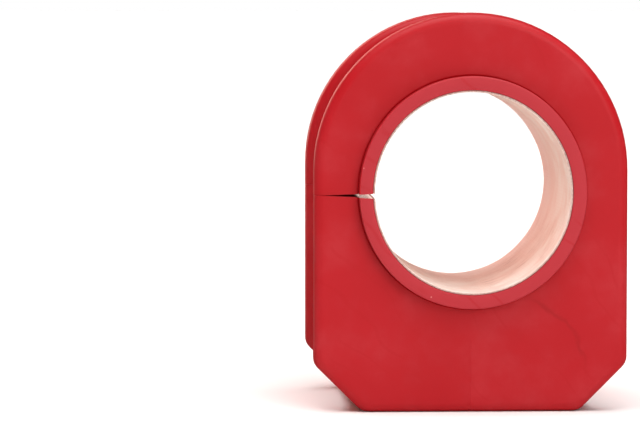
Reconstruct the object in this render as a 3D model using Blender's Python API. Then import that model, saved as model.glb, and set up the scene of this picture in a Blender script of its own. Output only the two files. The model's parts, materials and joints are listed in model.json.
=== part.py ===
"""Split, lined bushing that holds a sway bar to a vehicle's frame.

The bushing is a block of moulded polyurethane with a round top, a flat base and a bore for the
bar.  A flange stands up at each end, so that a U-shaped bracket strap lies in the groove between
them, and a thin collar rings the bore on each end face.  The bore is lined with low-friction
fabric.  One side is slit through to the bore, and the uncut side opposite bends so that the
bushing opens over the bar.

The bend is carried by a hinge line at the outer edge of the uncut side.  So the body is made as
a base block below the slit's plane and an arch above it, and the liner as two matching halves.

Axes: +Z up from the flat base, the bar along Y, the slit on -X.  Origin: middle of the base.
"""

import math

import bmesh
import bpy
from mathutils import Matrix

MM = 0.001

# Driving dimensions, in metres.
BAR_RADIUS = 17.5 * MM             # the lined bore fits a 35 mm bar
LINER_THICKNESS = 0.6 * MM
GAP = 0.3 * MM                     # clearance kept between neighbouring solids
BORE_HEIGHT = 38.6 * MM            # bore's centre above the base
SLIT_HEIGHT = 38.0 * MM            # the slit runs a little below the bore's centre
HALF_WIDTH = 27.5 * MM             # flange, which is also its arch's radius
ARCH_RISE = 3.65 * MM              # flange arch's centre above the bore's centre
CHAMFER = 8.5 * MM                 # 45 degree corners at the foot of the flanges
FLANGE_OUTER = 21.0 * MM           # from the middle of the bushing to a flange's outer face
FLANGE_THICKNESS = 4.7 * MM
RIM_RADIUS = 1.7 * MM              # rounding of a flange's edges
GROOVE_DEPTH = 5.1 * MM            # at the sides
GROOVE_TOP_DEPTH = 4.5 * MM        # over the arch
COLLAR_WALL = 1.9 * MM
COLLAR_HEIGHT = 2.2 * MM           # how far a collar stands out of its flange

ARCH_STEPS = 24                    # segments of a flange's half-round top
ROUND_STEPS = 48                   # segments of a full circle
RIM_STEPS = 3
BITE = 0.8 * MM                    # how deep joined shapes run into one another
CUTTER_MARGIN = 10.0 * MM

# Worked out from the above.
BODY_BORE = BAR_RADIUS + LINER_THICKNESS + GAP
COLLAR_RADIUS = BODY_BORE + COLLAR_WALL
HALF_LENGTH = FLANGE_OUTER + COLLAR_HEIGHT
FLANGE_INNER = FLANGE_OUTER - FLANGE_THICKNESS
FLANGE_ARCH_HEIGHT = BORE_HEIGHT + ARCH_RISE
FLANGE_TOP = FLANGE_ARCH_HEIGHT + HALF_WIDTH
WEB_HALF_WIDTH = HALF_WIDTH - GROOVE_DEPTH
WEB_ARCH_HEIGHT = FLANGE_TOP - GROOVE_TOP_DEPTH - WEB_HALF_WIDTH
BASE_HALF_WIDTH = HALF_WIDTH - CHAMFER


def clear_scene():
    for obj in list(bpy.data.objects):
        bpy.data.objects.remove(obj, do_unlink=True)


def make_material(name, colour, roughness):
    material = bpy.data.materials.new(name)
    material.use_nodes = True
    shader = material.node_tree.nodes["Principled BSDF"]
    shader.inputs["Base Color"].default_value = (*colour, 1.0)
    shader.inputs["Roughness"].default_value = roughness
    shader.inputs["Metallic"].default_value = 0.0
    return material


def bushing_outline(half_width, arch_height):
    """End-view outline (x, z): half-round top, straight sides, 45 degree corners, flat base."""
    points = []
    for step in range(ARCH_STEPS + 1):
        angle = math.pi * step / ARCH_STEPS
        points.append((half_width * math.cos(angle), arch_height + half_width * math.sin(angle)))
    corner_height = half_width - BASE_HALF_WIDTH
    points.append((-half_width, corner_height))
    points.append((-BASE_HALF_WIDTH, 0.0))
    points.append((BASE_HALF_WIDTH, 0.0))
    points.append((half_width, corner_height))
    return points


def prism(outline, y_from, y_to):
    """A bmesh of the outline, extruded along Y."""
    bm = bmesh.new()
    face = bm.faces.new([bm.verts.new((x, y_from, z)) for x, z in outline])
    grown = bmesh.ops.extrude_face_region(bm, geom=[face])
    moved = [v for v in grown["geom"] if isinstance(v, bmesh.types.BMVert)]
    bmesh.ops.translate(bm, verts=moved, vec=(0.0, y_to - y_from, 0.0))
    bmesh.ops.recalc_face_normals(bm, faces=bm.faces)
    return bm


def round_rim(bm, radius):
    """Round the edges around a plate's two faces, and leave the edges that run along Y."""
    rim = [e for e in bm.edges if abs(e.verts[0].co.y - e.verts[1].co.y) < radius / 2]
    bmesh.ops.bevel(bm, geom=rim, offset=radius, offset_type="OFFSET", segments=RIM_STEPS,
                    profile=0.5, affect="EDGES", material=-1)


def cylinder(radius, half_length):
    """A bmesh of a solid cylinder along Y, centred on the bore."""
    bm = bmesh.new()
    bmesh.ops.create_cone(bm, cap_ends=True, radius1=radius, radius2=radius, depth=2 * half_length,
                          segments=ROUND_STEPS)
    bmesh.ops.rotate(bm, verts=bm.verts, matrix=Matrix.Rotation(math.radians(90.0), 3, "X"))
    bmesh.ops.translate(bm, verts=bm.verts, vec=(0.0, 0.0, BORE_HEIGHT))
    return bm


def block(low, high):
    """A bmesh of a box between two corners."""
    bm = bmesh.new()
    bmesh.ops.create_cube(bm, size=1.0)
    for v in bm.verts:
        v.co = [(a + b) / 2 + c * (b - a) for a, b, c in zip(low, high, v.co)]
    return bm


def new_object(name, bm, material=None):
    mesh = bpy.data.meshes.new(name)
    bm.to_mesh(mesh)
    bm.free()
    obj = bpy.data.objects.new(name, mesh)
    bpy.context.scene.collection.objects.link(obj)
    if material:
        mesh.materials.append(material)
    return obj


def new_cutter(name, bm):
    """A shape that only shapes others: left out of the part itself."""
    obj = new_object(name, bm)
    obj.hide_render = True
    obj.display_type = "WIRE"
    return obj


def combine(obj, operation, other):
    modifier = obj.modifiers.new(operation.title() + "_" + other.name, "BOOLEAN")
    modifier.operation = operation
    modifier.solver = "EXACT"
    modifier.object = other


def hang_on_hinge(obj, hinge):
    """Parent a finished mesh to the hinge, with its own origin on the hinge line."""
    for vertex in obj.data.vertices:
        vertex.co -= hinge.location
    obj.parent = hinge


clear_scene()
polyurethane = make_material("moulded_polyurethane", (0.53, 0.035, 0.04), 0.38)
liner_fabric = make_material("low_friction_fabric", (0.80, 0.64, 0.58), 0.75)

# The uncut side bends about this line, at the flanges' outer edge.
hinge = bpy.data.objects.new("slit_hinge", None)
hinge.location = (HALF_WIDTH, 0.0, SLIT_HEIGHT)
bpy.context.scene.collection.objects.link(hinge)

reach = HALF_WIDTH + CUTTER_MARGIN
above_slit = ((-reach, -reach, SLIT_HEIGHT - GAP / 2), (reach, reach, FLANGE_TOP + CUTTER_MARGIN))
below_slit = ((-reach, -reach, -CUTTER_MARGIN), (reach, reach, SLIT_HEIGHT + GAP / 2))

# The shapes that make the body: a web in the groove, two flanges, and a tube for both collars.
flange_outline = bushing_outline(HALF_WIDTH, FLANGE_ARCH_HEIGHT)
flanges = []
for name, y_from, y_to in (("front_flange", -FLANGE_OUTER, -FLANGE_INNER),
                           ("rear_flange", FLANGE_INNER, FLANGE_OUTER)):
    plate = prism(flange_outline, y_from, y_to)
    round_rim(plate, RIM_RADIUS)
    flanges.append(new_cutter(name, plate))
collars = new_cutter("collars", cylinder(COLLAR_RADIUS, HALF_LENGTH))
bore = new_cutter("bore", cylinder(BODY_BORE, HALF_LENGTH + CUTTER_MARGIN))
bar_space = new_cutter("bar_space", cylinder(BAR_RADIUS, HALF_LENGTH + CUTTER_MARGIN))
upper_cut = new_cutter("space_above_slit", block(*above_slit))
lower_cut = new_cutter("space_below_slit", block(*below_slit))

# Body: the base block stays on the frame, and the arch lifts with the slit's upper lip.
web_outline = bushing_outline(WEB_HALF_WIDTH, WEB_ARCH_HEIGHT)
web_reach = FLANGE_INNER + BITE
base_block = new_object("base_block", prism(web_outline, -web_reach, web_reach), polyurethane)
arch = new_object("arch", prism(web_outline, -web_reach, web_reach), polyurethane)

# Liner: two half tubes inside the bore.
liner_radius = BAR_RADIUS + LINER_THICKNESS
liner_lower = new_object("liner_lower", cylinder(liner_radius, HALF_LENGTH), liner_fabric)
liner_upper = new_object("liner_upper", cylinder(liner_radius, HALF_LENGTH), liner_fabric)

for half, other_half in ((base_block, upper_cut), (arch, lower_cut)):
    for shape in (*flanges, collars):
        combine(half, "UNION", shape)
    combine(half, "DIFFERENCE", bore)
    combine(half, "DIFFERENCE", other_half)
for half, other_half in ((liner_lower, upper_cut), (liner_upper, lower_cut)):
    combine(half, "DIFFERENCE", bar_space)
    combine(half, "DIFFERENCE", other_half)

for moving in (arch, liner_upper):
    hang_on_hinge(moving, hinge)

for obj in (base_block, arch, liner_lower, liner_upper):
    obj.data.shade_smooth()
    obj.data.set_sharp_from_angle(angle=math.radians(35.0))
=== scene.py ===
import json
import math

import bmesh
import bpy
from mathutils import Matrix, Vector, noise
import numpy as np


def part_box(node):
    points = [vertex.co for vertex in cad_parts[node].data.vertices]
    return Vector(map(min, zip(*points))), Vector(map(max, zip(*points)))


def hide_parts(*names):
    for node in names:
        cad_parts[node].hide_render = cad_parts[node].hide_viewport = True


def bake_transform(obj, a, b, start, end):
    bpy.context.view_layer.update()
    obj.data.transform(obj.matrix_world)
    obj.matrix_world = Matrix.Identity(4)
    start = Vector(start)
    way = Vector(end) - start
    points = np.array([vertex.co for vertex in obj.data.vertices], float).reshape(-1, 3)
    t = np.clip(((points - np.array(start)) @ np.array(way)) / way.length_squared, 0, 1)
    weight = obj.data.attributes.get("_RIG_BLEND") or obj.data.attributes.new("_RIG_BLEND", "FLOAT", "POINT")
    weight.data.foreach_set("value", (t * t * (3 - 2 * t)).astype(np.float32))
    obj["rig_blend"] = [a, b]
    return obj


mm = 0.001
root2 = math.sqrt(2.0)
bandScale = 0.314                            # a Wave texture's scale that sets its bands 1 apart
mergeReach = 0.001 * mm

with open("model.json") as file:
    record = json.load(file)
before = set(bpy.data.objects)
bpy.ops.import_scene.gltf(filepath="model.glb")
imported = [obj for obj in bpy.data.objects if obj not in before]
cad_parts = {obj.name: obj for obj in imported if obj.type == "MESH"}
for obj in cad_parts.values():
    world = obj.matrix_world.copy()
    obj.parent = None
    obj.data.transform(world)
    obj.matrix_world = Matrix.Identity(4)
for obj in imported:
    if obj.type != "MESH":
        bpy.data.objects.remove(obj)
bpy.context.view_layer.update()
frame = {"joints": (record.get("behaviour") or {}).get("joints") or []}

# sizes that the solids already fix, in millimetres
halfWidth, collarFace = (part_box("arch")[1] / mm).xy
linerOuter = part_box("liner_lower")[1].x / mm
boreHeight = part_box("liner_lower")[0].z / mm + linerOuter
slitHeight = frame["joints"][0]["pos_m"][2] / mm
print("frame loaded")


def linearColour(hexColour):
    channels = [int(hexColour[i:i + 2], 16) / 255 for i in (1, 3, 5)]
    return [c / 12.92 if c <= 0.04045 else ((c + 0.055) / 1.055) ** 2.4 for c in channels] + [1.0]


def addNode(tree, kind, settings=None, inputs=None):
    # settings are the node's own; an input goes by name, or by number where names repeat, and is
    # a value, a socket, or a node that stands for its first output
    node = tree.nodes.new(kind)
    for name, value in (settings or {}).items():
        setattr(node, name, value)
    for name, value in (inputs or {}).items():
        if isinstance(name, int):
            socket = node.inputs[name]
        else:
            socket = next(s for s in node.inputs if s.enabled and s.name == name)
        if isinstance(value, bpy.types.Node):
            value = next(s for s in value.outputs if s.enabled)
        if isinstance(value, bpy.types.NodeSocket):
            tree.links.new(value, socket)
        else:
            socket.default_value = value
    return node


def newMaterial(name):
    material = bpy.data.materials.new(name)
    material.use_nodes = True
    return material, material.node_tree, material.node_tree.nodes["Principled BSDF"]


def newPiece(name, bm, materials, sharpAngle=30.0):
    mesh = bpy.data.meshes.new(name)
    bm.to_mesh(mesh)
    bm.free()
    for material in materials:
        mesh.materials.append(material)
    mesh.shade_smooth()
    mesh.set_sharp_from_angle(angle=math.radians(sharpAngle))
    piece = bpy.data.objects.new(name, mesh)
    bpy.context.scene.collection.objects.link(piece)
    return piece


def storePlaces(piece, name, placeOf):
    # a place for each point that stays with it when the piece bends, for its patterns to follow
    places = piece.data.attributes.new(name, "FLOAT_VECTOR", "POINT")
    for vertex, place in zip(piece.data.vertices, places.data):
        place.vector = placeOf(vertex.co)


# Every row of points runs from the slit's lower lip down the cut side, along the base, up the
# other side and over the arch to the upper lip. These are the segments in each stretch.
steps = {
    "belowSlit": 14, "flangeCorner": 6, "highChamfer": 4, "webWall": 2, "webCorner": 4,
    "lowChamfer": 3, "foot": 5, "base": 9, "seam": 1, "side": 16, "arch": 48, "aboveSlit": 3,
}
cornerSteps = sum(steps[name] for name in ("flangeCorner", "highChamfer", "webWall", "webCorner",
                                           "lowChamfer", "foot"))
middleOfBase = steps["belowSlit"] + cornerSteps + steps["base"] + steps["seam"]

boreRows = (0.0, 6.0, 12.0, 18.0)            # millimetres out from the middle of the bore

body = {                                     # millimetres
    "bore": 17.86,                           # radius that holds the liner
    "boreEdge": 0.08,
    "squeeze": 0.987,                        # the slit lets the bore close up a little in width,
    "pinch": 0.32,                           # and its cut wall lean in
    "collarRadius": 20.3,
    "collarEdge": 0.28,
    "rootWidth": 0.32,                       # a fine groove round each collar's root, and
    "rootDepth": 0.2,                        # its section in shares of its width and depth
    "rootSection": ((0.0, 1.0), (0.35, 0.75), (0.7, 0.2), (1.0, 0.0)),
    "flangeOuter": 21.0,                     # a flange's outer face, from the middle
    "flangeInner": 16.3,
    "rim": 1.65,                             # rounding of a flange's edges
    "crown": 0.05,
    "chamfer": 8.5,                          # 45 degree feet
    "footReach": 1.3,                        # how far the soft corners reach along each side
    "cornerReach": 1.2,
    "archHeight": 42.25,                     # centre of the flanges' half-round top
    "webWidth": 22.4,                        # groove floor at the sides, from the middle
    "webArchHeight": 42.85,
    "webCornerReach": 0.45,
    "creaseStep": 0.1,                       # the flange stands out this far past the web's foot
    "webFillet": 0.7,
    "webSag": 0.22,                          # thick moulding shrinks in its middle
    "baseSag": 0.3,
    "partingRidge": 0.07,                    # raised line where the mould's halves met
    "partingWidth": 0.14,
    "faceSeam": 0.05,                        # fainter line down the middle of an end face
    "faceSeamWidth": 0.16,
    # an end face's rows: shares of the way out to the rim, and of the seam's height
    "faceRows": ((0.04, 0.0), (0.32, 0.0), (0.36, 1.0), (0.66, 1.0), (0.96, 1.0)),
    "rimSeam": 1.5,                          # the seam swells by this much as it rounds the rim
    "slitAtLiner": 0.8,                      # the slit gapes towards the bore,
    "slitShut": 25.2,                        # and from here out it is shut but for a hair
    "slitAtRim": 0.004,
    "lipEdge": 0.05,
    "slip": 0.25,
    "sharpAngle": 21.0,                      # degrees; a sharper edge isn't shaded smooth
}


def slitGap(x):
    share = (body["slitShut"] - abs(x)) / (body["slitShut"] - linerOuter)
    return max(body["slitAtLiner"] * min(share, 1.0), body["slitAtRim"])


def straight(start, end, count):
    # points from start up to, but without, end
    return [start.lerp(end, i / count) for i in range(count)]


def softCorner(before, corner, after, reach, count):
    # the curve that softens a corner, and the point where it ends
    start = corner + (before - corner).normalized() * reach
    end = corner + (after - corner).normalized() * reach
    shares = [i / count for i in range(count)]
    return [start.lerp(corner, t).lerp(corner.lerp(end, t), t) for t in shares], end


def quarterTurn(count):
    return [math.pi / 2 * i / count for i in range(count + 1)]


def ring(radius):
    # a circle about the bore, its points in line with the corners of the flanges' outline
    def bearing(x, z):
        return math.atan2(z - boreHeight, x) % (2 * math.pi)

    lipDrop, lipRise = (slitHeight - boreHeight + side * slitGap(radius) / 2 for side in (-1, 1))
    foot = bearing(-halfWidth + body["chamfer"], 0.0)
    corner = bearing(-halfWidth, body["chamfer"])
    shoulder = bearing(-halfWidth, body["archHeight"])
    middle = 1.5 * math.pi
    beside = math.asin(body["faceSeamWidth"] / radius)
    marks = [math.pi - math.asin(lipDrop / radius), corner, foot, middle - beside, middle,
             middle + beside, 2 * middle - foot, 2 * middle - corner, 2 * middle - shoulder,
             2 * math.pi + shoulder, 3 * math.pi - math.asin(lipRise / radius)]
    counts = [steps["belowSlit"], cornerSteps, steps["base"], steps["seam"], steps["seam"],
              steps["base"], cornerSteps, steps["side"], steps["arch"], steps["aboveSlit"]]
    angles = [a + (b - a) * i / n for a, b, n in zip(marks, marks[1:], counts) for i in range(n)]
    points = []
    for a in angles + marks[-1:]:
        across = radius * body["squeeze"] * math.cos(a)
        lean = body["pinch"] * ((1 - math.cos(a)) / 2) ** 2
        points.append(Vector((across + lean, boreHeight + radius * math.sin(a))))
    return points


def oneSide(base, foot, webCorner, crease, flangeCorner, top, count):
    # one side of an outline, from the middle of the base up to top
    middle, beside = Vector((0.0, base)), Vector((body["faceSeamWidth"], base))
    webReach = min(body["webCornerReach"], (crease - webCorner).length / 2)
    footArc, footEnd = softCorner(beside, foot, webCorner, body["footReach"], steps["foot"])
    webArc, webEnd = softCorner(foot, webCorner, crease, webReach, steps["webCorner"])
    arc, arcEnd = softCorner(crease, flangeCorner, top, body["cornerReach"], steps["flangeCorner"])
    return [middle] + straight(beside, footArc[0], steps["base"]) + footArc \
        + straight(footEnd, webArc[0], steps["lowChamfer"]) + webArc \
        + straight(webEnd, crease, steps["webWall"]) \
        + straight(crease, arc[0], steps["highChamfer"]) + arc \
        + straight(arcEnd, top, count) + [top]


def outline(base, corners, wall, archHeight):
    # the half-round top has the same half width as the walls below it
    corners = [Vector(corner) for corner in corners]
    lowerLip, upperLip = (slitHeight + side * body["slitAtRim"] / 2 for side in (-1, 1))
    cutSide = oneSide(base, *corners, Vector((wall, lowerLip)), steps["belowSlit"])
    whole = [Vector((-x, z)) for x, z in reversed(cutSide[1:])]
    whole += oneSide(base, *corners, Vector((wall, archHeight)), steps["side"])[:-1]
    for i in range(steps["arch"]):
        angle = math.pi * i / steps["arch"]
        whole.append(Vector((wall * math.cos(angle), archHeight + wall * math.sin(angle))))
    whole += straight(Vector((-wall, archHeight)), Vector((-wall, upperLip)), steps["aboveSlit"])
    return whole + [Vector((-wall, upperLip))]


def flangeOuterHalf(inset):
    # a flange's outline with every edge drawn in
    footX = halfWidth - body["chamfer"]
    foot = Vector((footX - inset * (root2 - 1), max(inset, 0.0)))
    corner = Vector((halfWidth - inset, body["chamfer"] + inset * (root2 - 1)))
    webShare = (body["webWidth"] - footX) / body["chamfer"]
    creaseShare = webShare + body["creaseStep"] / body["chamfer"]
    corners = (foot, foot.lerp(corner, webShare), foot.lerp(corner, creaseShare), corner)
    return outline(max(inset, 0.0), corners, halfWidth - inset, body["archHeight"])


def flangeInnerHalf(inset):
    # here the web joins the flange, so that the base and the foot stay at full size
    footX = halfWidth - body["chamfer"]
    share = inset / body["rim"]
    wall = body["webWidth"] + body["webFillet"] * share
    webCorner = Vector((wall, wall - footX))
    step = body["creaseStep"] * (1 - share)
    crease = webCorner + Vector((step, step + inset * root2))
    corner = (halfWidth - inset, body["chamfer"] + inset * (root2 - 1))
    corners = ((footX, 0.0), webCorner, crease, corner)
    return outline(0.0, corners, halfWidth - inset, body["archHeight"])


def webOutline(fillet, sagShare):
    wall = body["webWidth"] + fillet - body["webSag"] * sagShare
    base = body["baseSag"] * sagShare
    footX = halfWidth - body["chamfer"]
    webCorner = Vector((wall, wall - footX))
    crease = webCorner + Vector((0.0, body["rim"] * root2))
    corner = (wall, body["chamfer"] + body["rim"] * (root2 - 1))
    return outline(base, ((footX + base, base), webCorner, crease, corner), wall,
                   body["webArchHeight"])


def bodyRows():
    # (distance from the middle, points, height of the face seam) from the bore out over one
    # end and back to the middle of the groove's floor
    b = body
    rows = [(out, ring(b["bore"]), 0.0) for out in boreRows]
    for a in quarterTurn(3):
        out = collarFace - b["boreEdge"] * (1 - math.sin(a))
        rows.append((out, ring(b["bore"] + b["boreEdge"] * (1 - math.cos(a))), 0.0))
    for a in quarterTurn(5):
        out = collarFace - b["collarEdge"] * (1 - math.cos(a))
        rows.append((out, ring(b["collarRadius"] - b["collarEdge"] * (1 - math.sin(a))), 0.0))
    for across, deep in b["rootSection"]:
        out = b["flangeOuter"] - deep * b["rootDepth"]
        rows.append((out, ring(b["collarRadius"] + across * b["rootWidth"]), 0.0))
    nearCollar, nearRim = rows[-1][1], flangeOuterHalf(b["rim"])
    for share, seam in b["faceRows"]:
        points = [a.lerp(c, share) for a, c in zip(nearCollar, nearRim)]
        rows.append((b["flangeOuter"], points, b["faceSeam"] * seam))
    for a in quarterTurn(6):
        out = b["flangeOuter"] - b["rim"] * (1 - math.cos(a))
        seam = b["faceSeam"] * (math.cos(a) + b["rimSeam"] * math.sin(2 * a))
        rows.append((out, flangeOuterHalf(b["rim"] * (1 - math.sin(a))), seam))
    crest = (b["flangeOuter"] + b["flangeInner"]) / 2
    for across, rise in ((1, 0.0), (0, b["partingRidge"]), (-1, 0.0)):
        out = crest + across * b["partingWidth"]
        rows.append((out, flangeOuterHalf(-b["crown"] - rise), 0.0))
    for a in quarterTurn(6):
        out = b["flangeInner"] + b["rim"] * (1 - math.sin(a))
        rows.append((out, flangeInnerHalf(b["rim"] * (1 - math.cos(a))), 0.0))
    nearFlange, nearFloor = rows[-1][1], webOutline(b["webFillet"], 0.0)
    points = [a.lerp(c, 0.5) for a, c in zip(nearFlange, nearFloor)]
    rows.append((b["flangeInner"], points, 0.0))
    for a in quarterTurn(5):
        out = b["flangeInner"] - b["webFillet"] * (1 - math.cos(a))
        rows.append((out, webOutline(b["webFillet"] * (1 - math.sin(a)), 0.0), 0.0))
    floorHalf = rows[-1][0]
    for share in (0.97, 0.8, 0.6, 0.4, 0.2, 0.0):
        rows.append((floorHalf * share, webOutline(0.0, 1 - share ** 2), 0.0))
    return rows


def growSkin(rows):
    # pulls a chain of edges from each row of points to the next, then mirrors it to both ends
    bm = bmesh.new()
    chain = []
    for out, points, seam in rows:
        places = [Vector((x, -out, z)) * mm for x, z in points]
        places[middleOfBase].y -= seam * mm
        if chain:
            edges = [bm.edges.get(pair) for pair in zip(chain, chain[1:])]
            grown = bmesh.ops.extrude_edge_only(bm, edges=edges)["geom"]
            fresh = {v for v in grown if isinstance(v, bmesh.types.BMVert)}
            chain = [next(e.other_vert(v) for e in v.link_edges if e.other_vert(v) in fresh)
                     for v in chain]
            for v, place in zip(chain, places):
                v.co = place
        else:
            chain = [bm.verts.new(places[0])]
            for place in places[1:]:
                fresh = bmesh.ops.extrude_vert_indiv(bm, verts=chain[-1:])["verts"][0]
                fresh.co = place
                chain.append(fresh)
    everything = bm.verts[:] + bm.edges[:] + bm.faces[:]
    bmesh.ops.mirror(bm, geom=everything, matrix=Matrix(), merge_dist=mergeReach, axis="Y")
    bmesh.ops.remove_doubles(bm, verts=bm.verts, dist=mergeReach)
    return bm


def slipLip(bm):
    # where they part, the arch has slipped a little back along the bar; the shift fades out
    # over the arch towards the uncut side
    for vertex in bm.verts:
        bearing = math.atan2(vertex.co.z - slitHeight * mm, -vertex.co.x) / math.pi
        if bearing > 0:
            vertex.co.y += body["slip"] * (1 - bearing) ** 2 * mm


def closeLips(bm, edgeWidth):
    # fills both faces of the slit, gives them the second material, and breaks their sharp edges
    openEdges = [e for e in bm.edges if e.is_boundary]
    lips = bmesh.ops.holes_fill(bm, edges=openEdges, sides=0)["faces"]
    for lip in lips:
        lip.material_index = 1
    bmesh.ops.recalc_face_normals(bm, faces=bm.faces)
    rims = list(dict.fromkeys(e for face in lips for e in face.edges))
    bmesh.ops.bevel(bm, geom=rims, offset=edgeWidth * mm, offset_type="OFFSET", segments=2,
                    profile=0.5, affect="EDGES", material=0, clamp_overlap=False)


bend = {"reach": 15.0}                       # millimetres of wall, above and below the slit


def bendWithArch(piece):
    # the uncut side bends over a length of its wall, and the cut side parts at the slit
    low, high = ((0, 0, (slitHeight + side * bend["reach"]) * mm) for side in (-1, 1))
    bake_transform(piece, "base", "upper", start=low, end=high)
    shares = piece.data.attributes["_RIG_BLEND"].data
    for vertex, share in zip(piece.data.vertices, shares):
        if vertex.co.x < 0:
            share.value = float(vertex.co.z > slitHeight * mm)


polyurethane = {
    "red": "#B91B24",
    "deepRed": "#B1151C",                    # where the pigment lies thicker
    "haze": "#C6444A",                       # a rubbed, slightly bloomed skin
    "hazeDepth": 0.28,                       # how much of the colour it takes over at most
    "trimmed": "#B73139",                    # a collar's end, where the flash was trimmed off
    "weld": "#9C1117",
    # painted shade of the narrow slit on the groove's floor
    "slitShade": "#6E0A10",
    "speck": "#E79A96",
    "specular": 0.2,                         # a fine matt skin throws back less than clear resin
    "roughness": (0.38, 0.48),
    "cloudSize": 13.0,                       # sizes and places in millimetres
    "hazeSize": 9.0,
    "flowPitch": 3.2,
    "flowDepth": 0.35,
    "weldCentre": (3.0, 0.0, 4.6),           # of the arc where two streams of resin met
    "weldRadius": 17.3,
    "weldWidth": 0.65,                       # from its middle to where it has faded out
    "weldWaver": 5.0,
    "weldAcross": (9.0, 13.0),               # it fades in between these places along X,
    "weldUp": (6.0, 12.0),                   # and between these heights
    "slitShadeWidth": 0.24,                      # painted shade along the slit on the groove's floor,
    "slitShadeSide": (20.0, 21.0),               # from here out on the cut side
    "speckSpacing": 4.4,
    "speckSize": 0.18,
    "grainSize": 0.9,
    "grainDepth": 0.012,
    "cutRoughness": (0.1, 0.75),             # by the bore, and from the collar's root outwards
    "cutTurn": (19.4, 20.8),                 # where the one gives way to the other
    "cutPitch": 0.8,
    "cutDepth": 0.003,
}


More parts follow.
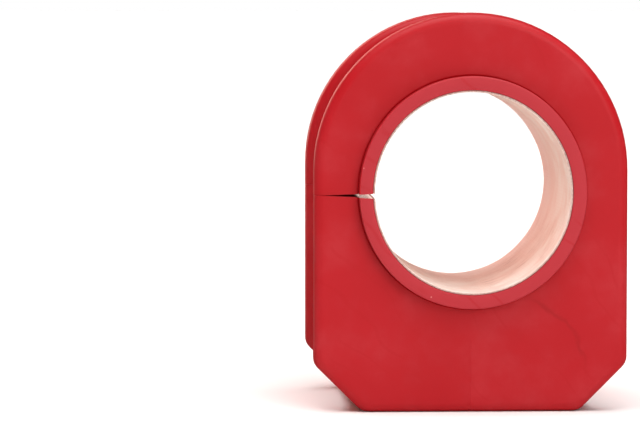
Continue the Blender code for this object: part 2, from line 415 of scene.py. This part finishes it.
def makePolyurethane():
    # Polyurethane cast in a steel mould: an even, deep red with a soft satin sheen, slightly
    # cloudy, with faint flow lines, one darker weld line, a few pale specks of dust and a fine
    # grain from the mould. A dark band along the slit's edges on the groove's floor is painted
    # shade of the narrow slit.
    p = polyurethane
    material, tree, shader = newMaterial("moulded polyurethane")
    place = addNode(tree, "ShaderNodeAttribute", {"attribute_name": "mouldPlace"}).outputs["Vector"]
    clouds = addNode(tree, "ShaderNodeTexNoise", inputs={
        "Vector": place, "Scale": 1 / (p["cloudSize"] * mm), "Detail": 3.0, "Roughness": 0.55})
    colour = addNode(tree, "ShaderNodeMix", {"data_type": "RGBA"}, {
        "Factor": clouds, "A": linearColour(p["deepRed"]), "B": linearColour(p["red"])})

    rubbing = addNode(tree, "ShaderNodeTexNoise", inputs={
        "Vector": place, "Scale": 1 / (p["hazeSize"] * mm), "Detail": 4.0, "Roughness": 0.6})
    rubbed = addNode(tree, "ShaderNodeMapRange", {"interpolation_type": "SMOOTHSTEP"}, {
        "Value": rubbing, "From Min": 0.42, "From Max": 0.8, "To Max": p["hazeDepth"]})
    colour = addNode(tree, "ShaderNodeMix", {"data_type": "RGBA"}, {
        "Factor": rubbed, "A": colour, "B": linearColour(p["haze"])})

    trimmed = addNode(tree, "ShaderNodeAttribute", {"attribute_name": "trimmed"}).outputs["Fac"]
    colour = addNode(tree, "ShaderNodeMix", {"data_type": "RGBA"}, {
        "Factor": trimmed, "A": colour, "B": linearColour(p["trimmed"])})

    swirls = addNode(tree, "ShaderNodeTexWave", {"bands_direction": "DIAGONAL"}, {
        "Vector": place, "Scale": bandScale / (p["flowPitch"] * mm), "Distortion": 9.0,
        "Detail": 2.0, "Detail Scale": 0.6})
    flow = addNode(tree, "ShaderNodeMapRange", {"interpolation_type": "SMOOTHSTEP"}, {
        "Value": swirls, "From Min": 0.93, "From Max": 1.0, "To Max": p["flowDepth"]})
    flowHere = addNode(tree, "ShaderNodeMapRange", {"interpolation_type": "SMOOTHSTEP"}, {
        "Value": clouds, "From Min": 0.5, "From Max": 0.62})
    faint = addNode(tree, "ShaderNodeMath", {"operation": "MULTIPLY"}, {0: flow, 1: flowHere})
    colour = addNode(tree, "ShaderNodeMix", {"data_type": "RGBA"}, {
        "Factor": faint, "A": colour, "B": linearColour(p["deepRed"])})

    parts = addNode(tree, "ShaderNodeSeparateXYZ", inputs={"Vector": place})
    onFace = addNode(tree, "ShaderNodeVectorMath", {"operation": "MULTIPLY"}, {
        0: place, 1: (1.0, 0.0, 1.0)})
    reach = addNode(tree, "ShaderNodeVectorMath", {"operation": "DISTANCE"}, {
        0: onFace, 1: [length * mm for length in p["weldCentre"]]})
    waver = addNode(tree, "ShaderNodeMath", {"operation": "MULTIPLY_ADD"}, {
        0: rubbing, 1: p["weldWaver"] * mm, 2: reach.outputs["Value"]})
    fromWeld = addNode(tree, "ShaderNodeMath", {"operation": "SUBTRACT"}, {
        0: waver, 1: (p["weldRadius"] + p["weldWaver"] / 2) * mm})
    offWeld = addNode(tree, "ShaderNodeMath", {"operation": "ABSOLUTE"}, {0: fromWeld})
    weld = addNode(tree, "ShaderNodeMapRange", {"interpolation_type": "SMOOTHSTEP"}, {
        "Value": offWeld, "From Min": p["weldWidth"] * mm, "From Max": 0.0})
    (left, right), (low, high) = p["weldAcross"], p["weldUp"]
    weldTop = addNode(tree, "ShaderNodeMapRange", {"interpolation_type": "SMOOTHSTEP"}, {
        "Value": parts.outputs["X"], "From Min": left * mm, "From Max": right * mm,
        "To Max": rubbing})
    weldFoot = addNode(tree, "ShaderNodeMapRange", {"interpolation_type": "SMOOTHSTEP"}, {
        "Value": parts.outputs["Z"], "From Min": low * mm, "From Max": high * mm,
        "To Max": weldTop})
    welded = addNode(tree, "ShaderNodeMath", {"operation": "MULTIPLY"}, {0: weld, 1: weldFoot})
    colour = addNode(tree, "ShaderNodeMix", {"data_type": "RGBA"}, {
        "Factor": welded, "A": colour, "B": linearColour(p["weld"])})

    # painted shade: a dark band along the slit on the groove's floor, on the cut side, standing in for the
    # slit's own shade
    fromSlit = addNode(tree, "ShaderNodeMath", {"operation": "COMPARE"}, {
        0: parts.outputs["Z"], 1: slitHeight * mm, 2: p["slitShadeWidth"] / 2 * mm})
    inGroove = addNode(tree, "ShaderNodeMath", {"operation": "COMPARE"}, {
        0: parts.outputs["Y"], 1: 0.0, 2: body["flangeInner"] * mm})
    near, far = p["slitShadeSide"]
    cutSide = addNode(tree, "ShaderNodeMapRange", inputs={
        "Value": parts.outputs["X"], "From Min": -near * mm, "From Max": -far * mm,
        "To Max": inGroove})
    slitShade = addNode(tree, "ShaderNodeMath", {"operation": "MULTIPLY"}, {0: fromSlit, 1: cutSide})
    colour = addNode(tree, "ShaderNodeMix", {"data_type": "RGBA"}, {
        "Factor": slitShade, "A": colour, "B": linearColour(p["slitShade"])})

    dust = addNode(tree, "ShaderNodeTexVoronoi", inputs={
        "Vector": place, "Scale": 1 / (p["speckSpacing"] * mm)})
    dot = addNode(tree, "ShaderNodeMapRange", {"interpolation_type": "SMOOTHSTEP"}, {
        "Value": dust.outputs["Distance"], "From Min": p["speckSize"] / p["speckSpacing"],
        "From Max": 0.4 * p["speckSize"] / p["speckSpacing"]})
    chance = addNode(tree, "ShaderNodeMapRange", inputs={
        "Value": dust.outputs["Color"], "From Min": 0.55, "From Max": 0.65})
    speck = addNode(tree, "ShaderNodeMath", {"operation": "MULTIPLY"}, {0: dot, 1: chance})
    colour = addNode(tree, "ShaderNodeMix", {"data_type": "RGBA"}, {
        "Factor": speck, "A": colour, "B": linearColour(p["speck"])})
    tree.links.new(colour.outputs[2], shader.inputs["Base Color"])

    satinLow, satinHigh = p["roughness"]
    satin = addNode(tree, "ShaderNodeMapRange", inputs={
        "Value": rubbing, "From Min": 0.3, "From Max": 0.7, "To Min": satinLow,
        "To Max": satinHigh})
    tree.links.new(satin.outputs["Result"], shader.inputs["Roughness"])
    shader.inputs["Specular IOR Level"].default_value = p["specular"]

    grain = addNode(tree, "ShaderNodeTexNoise", inputs={
        "Vector": place, "Scale": 1 / (p["grainSize"] * mm), "Detail": 3.0, "Roughness": 0.6})
    skin = addNode(tree, "ShaderNodeBump", inputs={
        "Height": grain, "Strength": 1.0, "Distance": p["grainDepth"] * mm})
    tree.links.new(skin.outputs["Normal"], shader.inputs["Normal"])
    return material


def makeCutPolyurethane():
    # The same resin slit with a knife after moulding: glossy beside the bore, where the slit
    # gapes and light glances along it, and dull further out, with fine lines from the blade.
    p = polyurethane
    material, tree, shader = newMaterial("knife-cut polyurethane")
    place = addNode(tree, "ShaderNodeAttribute", {"attribute_name": "mouldPlace"}).outputs["Vector"]
    drag = addNode(tree, "ShaderNodeTexWave", {"bands_direction": "Y"}, {
        "Vector": place, "Scale": bandScale / (p["cutPitch"] * mm), "Distortion": 3.0,
        "Detail": 2.0, "Detail Scale": 0.3})
    colour = addNode(tree, "ShaderNodeMix", {"data_type": "RGBA"}, {
        "Factor": drag, "A": linearColour(p["deepRed"]), "B": linearColour(p["trimmed"])})
    tree.links.new(colour.outputs[2], shader.inputs["Base Color"])
    parts = addNode(tree, "ShaderNodeSeparateXYZ", inputs={"Vector": place})
    (smooth, dull), (near, far) = p["cutRoughness"], p["cutTurn"]
    gloss = addNode(tree, "ShaderNodeMapRange", {"interpolation_type": "SMOOTHSTEP"}, {
        "Value": parts.outputs["X"], "From Min": -near * mm, "From Max": -far * mm,
        "To Min": smooth, "To Max": dull})
    tree.links.new(gloss.outputs["Result"], shader.inputs["Roughness"])
    lines = addNode(tree, "ShaderNodeBump", inputs={
        "Height": drag, "Strength": 0.3, "Distance": p["cutDepth"] * mm})
    tree.links.new(lines.outputs["Normal"], shader.inputs["Normal"])
    return material


fabric = {
    "cream": "#F9F2EA",
    "pink": "#F3DED3",                       # the red resin shows through the thin cloth
    "rose": "#EFCDC3",
    "boreShadeAmount": 0.7,                        # painted shade, rosier and darker deeper in the bore: how much of the rose it takes over at most,
    "boreShadeReach": (-14.0, 22.0),              # from here to here along the bore,
    "hollowDepth": 0.16,                     # and in the hollows of the weave
    "scuff": "#86695B",
    # the cut ends' brown: glued fibres, deepened as painted shade of the gap at the collar
    "cutEdgeAndShade": "#8A4A3C",
    "roughness": 0.62,
    "specular": 0.35,
    "cutRoughness": 0.9,
    "fibreSize": 0.5,                        # sizes and places in millimetres
    "stainSize": 11.0,
    "threadPitch": 0.62,                     # drawn coarser than the real 0.3, so that it shows
    "threadDepth": 0.03,
    "wearPlace": 38.0,                       # round from the slit, where the bar bears hardest
    "wearReach": (4.2, 14.0),                # full up to here on both sides, and none past here
    "scuffLength": 5.0,
    "scuffWidth": 0.6,
    "scuffDepth": 0.5,
}


def makeLinerFabric():
    # Woven PTFE and polyester cloth bonded into the bore: a waxy off-white, blushed by the red
    # resin behind it, with a fine weave and grey-brown scuffs where the bar has turned. Further
    # into the bore it turns rosier and darker, a painted shade of the deep bore.
    f = fabric
    material, tree, shader = newMaterial("woven PTFE fabric")
    cloth = addNode(tree, "ShaderNodeAttribute", {"attribute_name": "clothPlace"}).outputs["Vector"]
    parts = addNode(tree, "ShaderNodeSeparateXYZ", inputs={"Vector": cloth})
    stains = addNode(tree, "ShaderNodeTexNoise", inputs={
        "Vector": cloth, "Scale": 1 / (f["stainSize"] * mm), "Detail": 4.0, "Roughness": 0.6})
    blush = addNode(tree, "ShaderNodeMapRange", {"interpolation_type": "SMOOTHSTEP"}, {
        "Value": stains, "From Min": 0.38, "From Max": 0.62})
    colour = addNode(tree, "ShaderNodeMix", {"data_type": "RGBA"}, {
        "Factor": blush, "A": linearColour(f["cream"]), "B": linearColour(f["pink"])})
    # painted shade: the cloth turns rosier and darker further into the bore
    front, rear = f["boreShadeReach"]
    paintedBoreShade = addNode(tree, "ShaderNodeMapRange", {"interpolation_type": "SMOOTHSTEP"}, {
        "Value": parts.outputs["Y"], "From Min": front * mm, "From Max": rear * mm,
        "To Max": f["boreShadeAmount"]})
    colour = addNode(tree, "ShaderNodeMix", {"data_type": "RGBA"}, {
        "Factor": paintedBoreShade, "A": colour, "B": linearColour(f["rose"])})

    stretched = addNode(tree, "ShaderNodeMapping", inputs={
        "Vector": cloth, "Scale": (1 / (f["scuffLength"] * mm), 1 / (f["scuffWidth"] * mm), 1.0)})
    streaks = addNode(tree, "ShaderNodeTexNoise", inputs={
        "Vector": stretched, "Scale": 1.0, "Detail": 3.0, "Roughness": 0.65})
    scuffed = addNode(tree, "ShaderNodeMapRange", {"interpolation_type": "SMOOTHSTEP"}, {
        "Value": streaks, "From Min": 0.52, "From Max": 0.66})
    fromWear = addNode(tree, "ShaderNodeMath", {"operation": "SUBTRACT"}, {
        0: parts.outputs["X"], 1: f["wearPlace"] * mm})
    away = addNode(tree, "ShaderNodeMath", {"operation": "ABSOLUTE"}, {0: fromWear})
    patches = addNode(tree, "ShaderNodeMapRange", {"interpolation_type": "SMOOTHSTEP"}, {
        "Value": stains, "From Min": 0.44, "From Max": 0.6, "To Max": f["scuffDepth"]})
    full, none = f["wearReach"]
    wornHere = addNode(tree, "ShaderNodeMapRange", {"interpolation_type": "SMOOTHSTEP"}, {
        "Value": away, "From Min": none * mm, "From Max": full * mm, "To Max": patches})
    scuff = addNode(tree, "ShaderNodeMath", {"operation": "MULTIPLY"}, {0: scuffed, 1: wornHere})
    colour = addNode(tree, "ShaderNodeMix", {"data_type": "RGBA"}, {
        "Factor": scuff, "A": colour, "B": linearColour(f["scuff"])})

    weaveScale = bandScale / (f["threadPitch"] * mm)
    warp = addNode(tree, "ShaderNodeTexWave", {"bands_direction": "X"}, {
        "Vector": cloth, "Scale": weaveScale})
    weft = addNode(tree, "ShaderNodeTexWave", {"bands_direction": "Y"}, {
        "Vector": cloth, "Scale": weaveScale})
    overUnder = addNode(tree, "ShaderNodeTexChecker", inputs={
        "Vector": cloth, "Scale": 1 / (f["threadPitch"] * mm)})
    weave = addNode(tree, "ShaderNodeMix", {"data_type": "FLOAT"}, {
        "Factor": overUnder.outputs["Fac"], "A": warp.outputs["Fac"], "B": weft.outputs["Fac"]})
    hollow = addNode(tree, "ShaderNodeMapRange", inputs={
        "Value": weave, "To Min": f["hollowDepth"], "To Max": 0.0})
    colour = addNode(tree, "ShaderNodeMix", {"data_type": "RGBA"}, {
        "Factor": hollow, "A": colour, "B": linearColour(f["rose"])})
    tree.links.new(colour.outputs[2], shader.inputs["Base Color"])
    shader.inputs["Roughness"].default_value = f["roughness"]
    shader.inputs["Specular IOR Level"].default_value = f["specular"]
    threads = addNode(tree, "ShaderNodeBump", inputs={
        "Height": weave, "Strength": 0.6, "Distance": f["threadDepth"] * mm})
    tree.links.new(threads.outputs["Normal"], shader.inputs["Normal"])
    return material


def makeCutFabric():
    # The same cloth at its cut ends: short brown fibres, glued, and darkened further as painted shade of the
    # fine gap beside the collar.
    f = fabric
    material, tree, shader = newMaterial("cut fabric edge")
    cloth = addNode(tree, "ShaderNodeAttribute", {"attribute_name": "clothPlace"}).outputs["Vector"]
    fibres = addNode(tree, "ShaderNodeTexNoise", inputs={
        "Vector": cloth, "Scale": 1 / (f["fibreSize"] * mm), "Detail": 2.0})
    colour = addNode(tree, "ShaderNodeMix", {"data_type": "RGBA"}, {
        "Factor": fibres, "A": linearColour(f["cutEdgeAndShade"]), "B": linearColour(f["pink"])})
    tree.links.new(colour.outputs[2], shader.inputs["Base Color"])
    shader.inputs["Roughness"].default_value = f["cutRoughness"]
    return material


def makeBody():
    bm = growSkin(bodyRows())
    slipLip(bm)
    closeLips(bm, body["lipEdge"])
    materials = (makePolyurethane(), makeCutPolyurethane())
    piece = newPiece("moulded_body", bm, materials, body["sharpAngle"])
    storePlaces(piece, "mouldPlace", lambda place: place)
    trimmed = piece.data.attributes.new("trimmed", "FLOAT", "POINT")
    trimmedFrom = (collarFace - body["slip"]) * mm - 10 * mergeReach    # the collars' ends
    for vertex, share in zip(piece.data.vertices, trimmed.data):
        share.value = float(abs(vertex.co.y) > trimmedFrom)
    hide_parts("base_block", "arch")
    bendWithArch(piece)


liner = {                                    # millimetres
    "outer": 17.8,
    "inner": 17.5,
    "recess": 0.15,                          # its cut ends lie just inside the collars
    "edge": 0.09,
    "wallRows": range(22, -1, -2),           # out from the middle, along the face for the bar
    "ripple": 0.05,
    "rippleLift": 0.3,                       # ripples stand out of the bore more than they sink
    "rippleLength": 7.0,
    "fray": 0.12,
    "fraySink": 0.2,                         # frays are more often short than long
    "frayLength": 1.3,
}


def clothPlace(place):
    # how far round from the slit, and how far along the bore
    slitBearing = math.atan2(slitHeight - boreHeight, -liner["inner"])
    bearing = math.atan2(place.z - boreHeight * mm, place.x) - slitBearing
    return Vector((bearing % (2 * math.pi) * liner["inner"] * mm, place.y, 0.0))


def roughenCloth(bm):
    # the cloth lies a little unevenly on its glue, and its cut ends wander
    middle = (liner["inner"] + liner["outer"]) / 2 * mm
    end = (collarFace - liner["recess"] - 2 * liner["edge"]) * mm
    for vertex in bm.verts:
        spoke = Vector((vertex.co.x / body["squeeze"], 0.0, vertex.co.z - boreHeight * mm))
        if spoke.length < middle:
            ripple = noise.noise(vertex.co / (liner["rippleLength"] * mm))
            lift = (ripple + liner["rippleLift"]) * liner["ripple"]
            vertex.co += spoke.normalized() * lift * mm
        if abs(vertex.co.y) > end:
            fray = noise.noise(vertex.co / (liner["frayLength"] * mm)) - liner["fraySink"]
            vertex.co.y += math.copysign(fray * liner["fray"] * mm, vertex.co.y)


def makeLiner():
    end = collarFace - liner["recess"]
    rows = [(out, ring(liner["outer"]), 0.0) for out in boreRows]
    for a in quarterTurn(2):
        out = end - liner["edge"] * (1 - math.sin(a))
        rows.append((out, ring(liner["outer"] - liner["edge"] * (1 - math.cos(a))), 0.0))
    for a in quarterTurn(2):
        out = end - liner["edge"] * (1 - math.cos(a))
        rows.append((out, ring(liner["inner"] + liner["edge"] * (1 - math.sin(a))), 0.0))
    rows += [(out, ring(liner["inner"]), 0.0) for out in liner["wallRows"]]
    bm = growSkin(rows)
    slipLip(bm)
    closeLips(bm, liner["edge"])
    for face in bm.faces:
        if abs(face.normal.y) > 0.9:         # it faces along the bore, so it is a cut end
            face.material_index = 1
    roughenCloth(bm)
    materials = (makeLinerFabric(), makeCutFabric())
    piece = newPiece("bore_liner", bm, materials)
    storePlaces(piece, "clothPlace", clothPlace)
    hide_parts("liner_lower", "liner_upper")
    bendWithArch(piece)


studio = {
    "eye": (-50.85, -608.98, 70.37),         # mm: a little to the cut side of the bore, and above
    "turn": (86.553, 0.0, -2.374),           # degrees
    "lens": 190.4,
    "viewReach": 500.0,                      # metres
    "floorSize": 400.0,                      # metres, so that its far edge is lost in the white
    "floorColour": "#FBFAF8",
    "floorRoughness": 0.9,
    "floorSpecular": 0.1,
    "sideGlow": 0.05,                        # what the dim studio around the object gives
    "backGlow": 1.4,                         # what the backdrop gives
    "backColour": "#FFDDD0",                 # it lights the object warmly, and looks white itself
    "backdropEdge": (0.965, 0.99),           # cosines of the angle from straight behind
    "overhead": (3.55, 65.0, (8.0, 0.0, 0.0)),    # strength, and spread and turn in degrees
    "softboxes": {                           # watts, size and place in metres, and colour
        "front softbox": (5.8, 0.7, (0.40, -1.0, 0.55), "#FFFFFF"),
        "rear softbox": (5.7, 0.7, (-0.38, 1.0, 0.36), "#FFC3B5"),
    },
}


def makeFloorFinish():
    # matt painted board: pale, and too rough to mirror anything
    material, tree, shader = newMaterial("painted board, matt")
    shader.inputs["Base Color"].default_value = linearColour(studio["floorColour"])
    shader.inputs["Roughness"].default_value = studio["floorRoughness"]
    shader.inputs["Specular IOR Level"].default_value = studio["floorSpecular"]
    return material


def makeBackdrop(scene):
    # a white backdrop behind the object, and a dim room around it
    world = bpy.data.worlds.new("studio")
    scene.world = world
    world.use_nodes = True
    tree = world.node_tree
    low, high = studio["backdropEdge"]
    way = addNode(tree, "ShaderNodeTexCoord")
    parts = addNode(tree, "ShaderNodeSeparateXYZ", inputs={"Vector": way.outputs["Generated"]})
    glow = addNode(tree, "ShaderNodeMapRange", {"interpolation_type": "SMOOTHSTEP"}, {
        "Value": parts.outputs["Y"], "From Min": low, "From Max": high,
        "To Min": studio["sideGlow"], "To Max": studio["backGlow"]})
    seen = addNode(tree, "ShaderNodeLightPath")
    strength = addNode(tree, "ShaderNodeMix", {"data_type": "FLOAT"}, {
        "Factor": seen.outputs["Is Camera Ray"], "A": glow.outputs["Result"], "B": 1.0})
    background = tree.nodes["Background"]
    colour = addNode(tree, "ShaderNodeMix", {"data_type": "RGBA"}, {
        "Factor": seen.outputs["Is Camera Ray"], "A": linearColour(studio["backColour"]),
        "B": linearColour("#FFFFFF")})
    tree.links.new(colour.outputs[2], background.inputs["Color"])
    tree.links.new(strength.outputs["Result"], background.inputs["Strength"])


def makeStudio():
    scene = bpy.context.scene
    camera = bpy.data.objects.new("camera", bpy.data.cameras.new("camera"))
    scene.collection.objects.link(camera)
    camera.data.lens = studio["lens"]
    camera.data.clip_end = studio["viewReach"]
    camera.location = Vector(studio["eye"]) * mm
    camera.rotation_euler = [math.radians(angle) for angle in studio["turn"]]
    scene.camera = camera

    bm = bmesh.new()
    bmesh.ops.create_grid(bm, x_segments=2, y_segments=2, size=studio["floorSize"] / 2)
    floor = newPiece("floor", bm, [makeFloorFinish()])
    floor.visible_glossy = False             # keeps its white out of the object's sheen

    strength, spread, turn = studio["overhead"]
    overhead = bpy.data.objects.new("overhead light", bpy.data.lights.new("overhead light", "SUN"))
    scene.collection.objects.link(overhead)
    overhead.data.energy = strength
    overhead.data.angle = math.radians(spread)
    overhead.rotation_euler = [math.radians(angle) for angle in turn]

    for name, (watts, size, place, tint) in studio["softboxes"].items():
        softbox = bpy.data.objects.new(name, bpy.data.lights.new(name, "AREA"))
        scene.collection.objects.link(softbox)
        softbox.data.energy = watts
        softbox.data.size = size
        softbox.data.color = linearColour(tint)[:3]
        softbox.location = place
        softbox.rotation_euler = (-Vector(place)).to_track_quat("-Z", "Y").to_euler()
    makeBackdrop(scene)
    scene.view_settings.view_transform = "Standard"


makeStudio()
print("studio ready")
makeBody()
print("body moulded")
makeLiner()
print("liner laid")
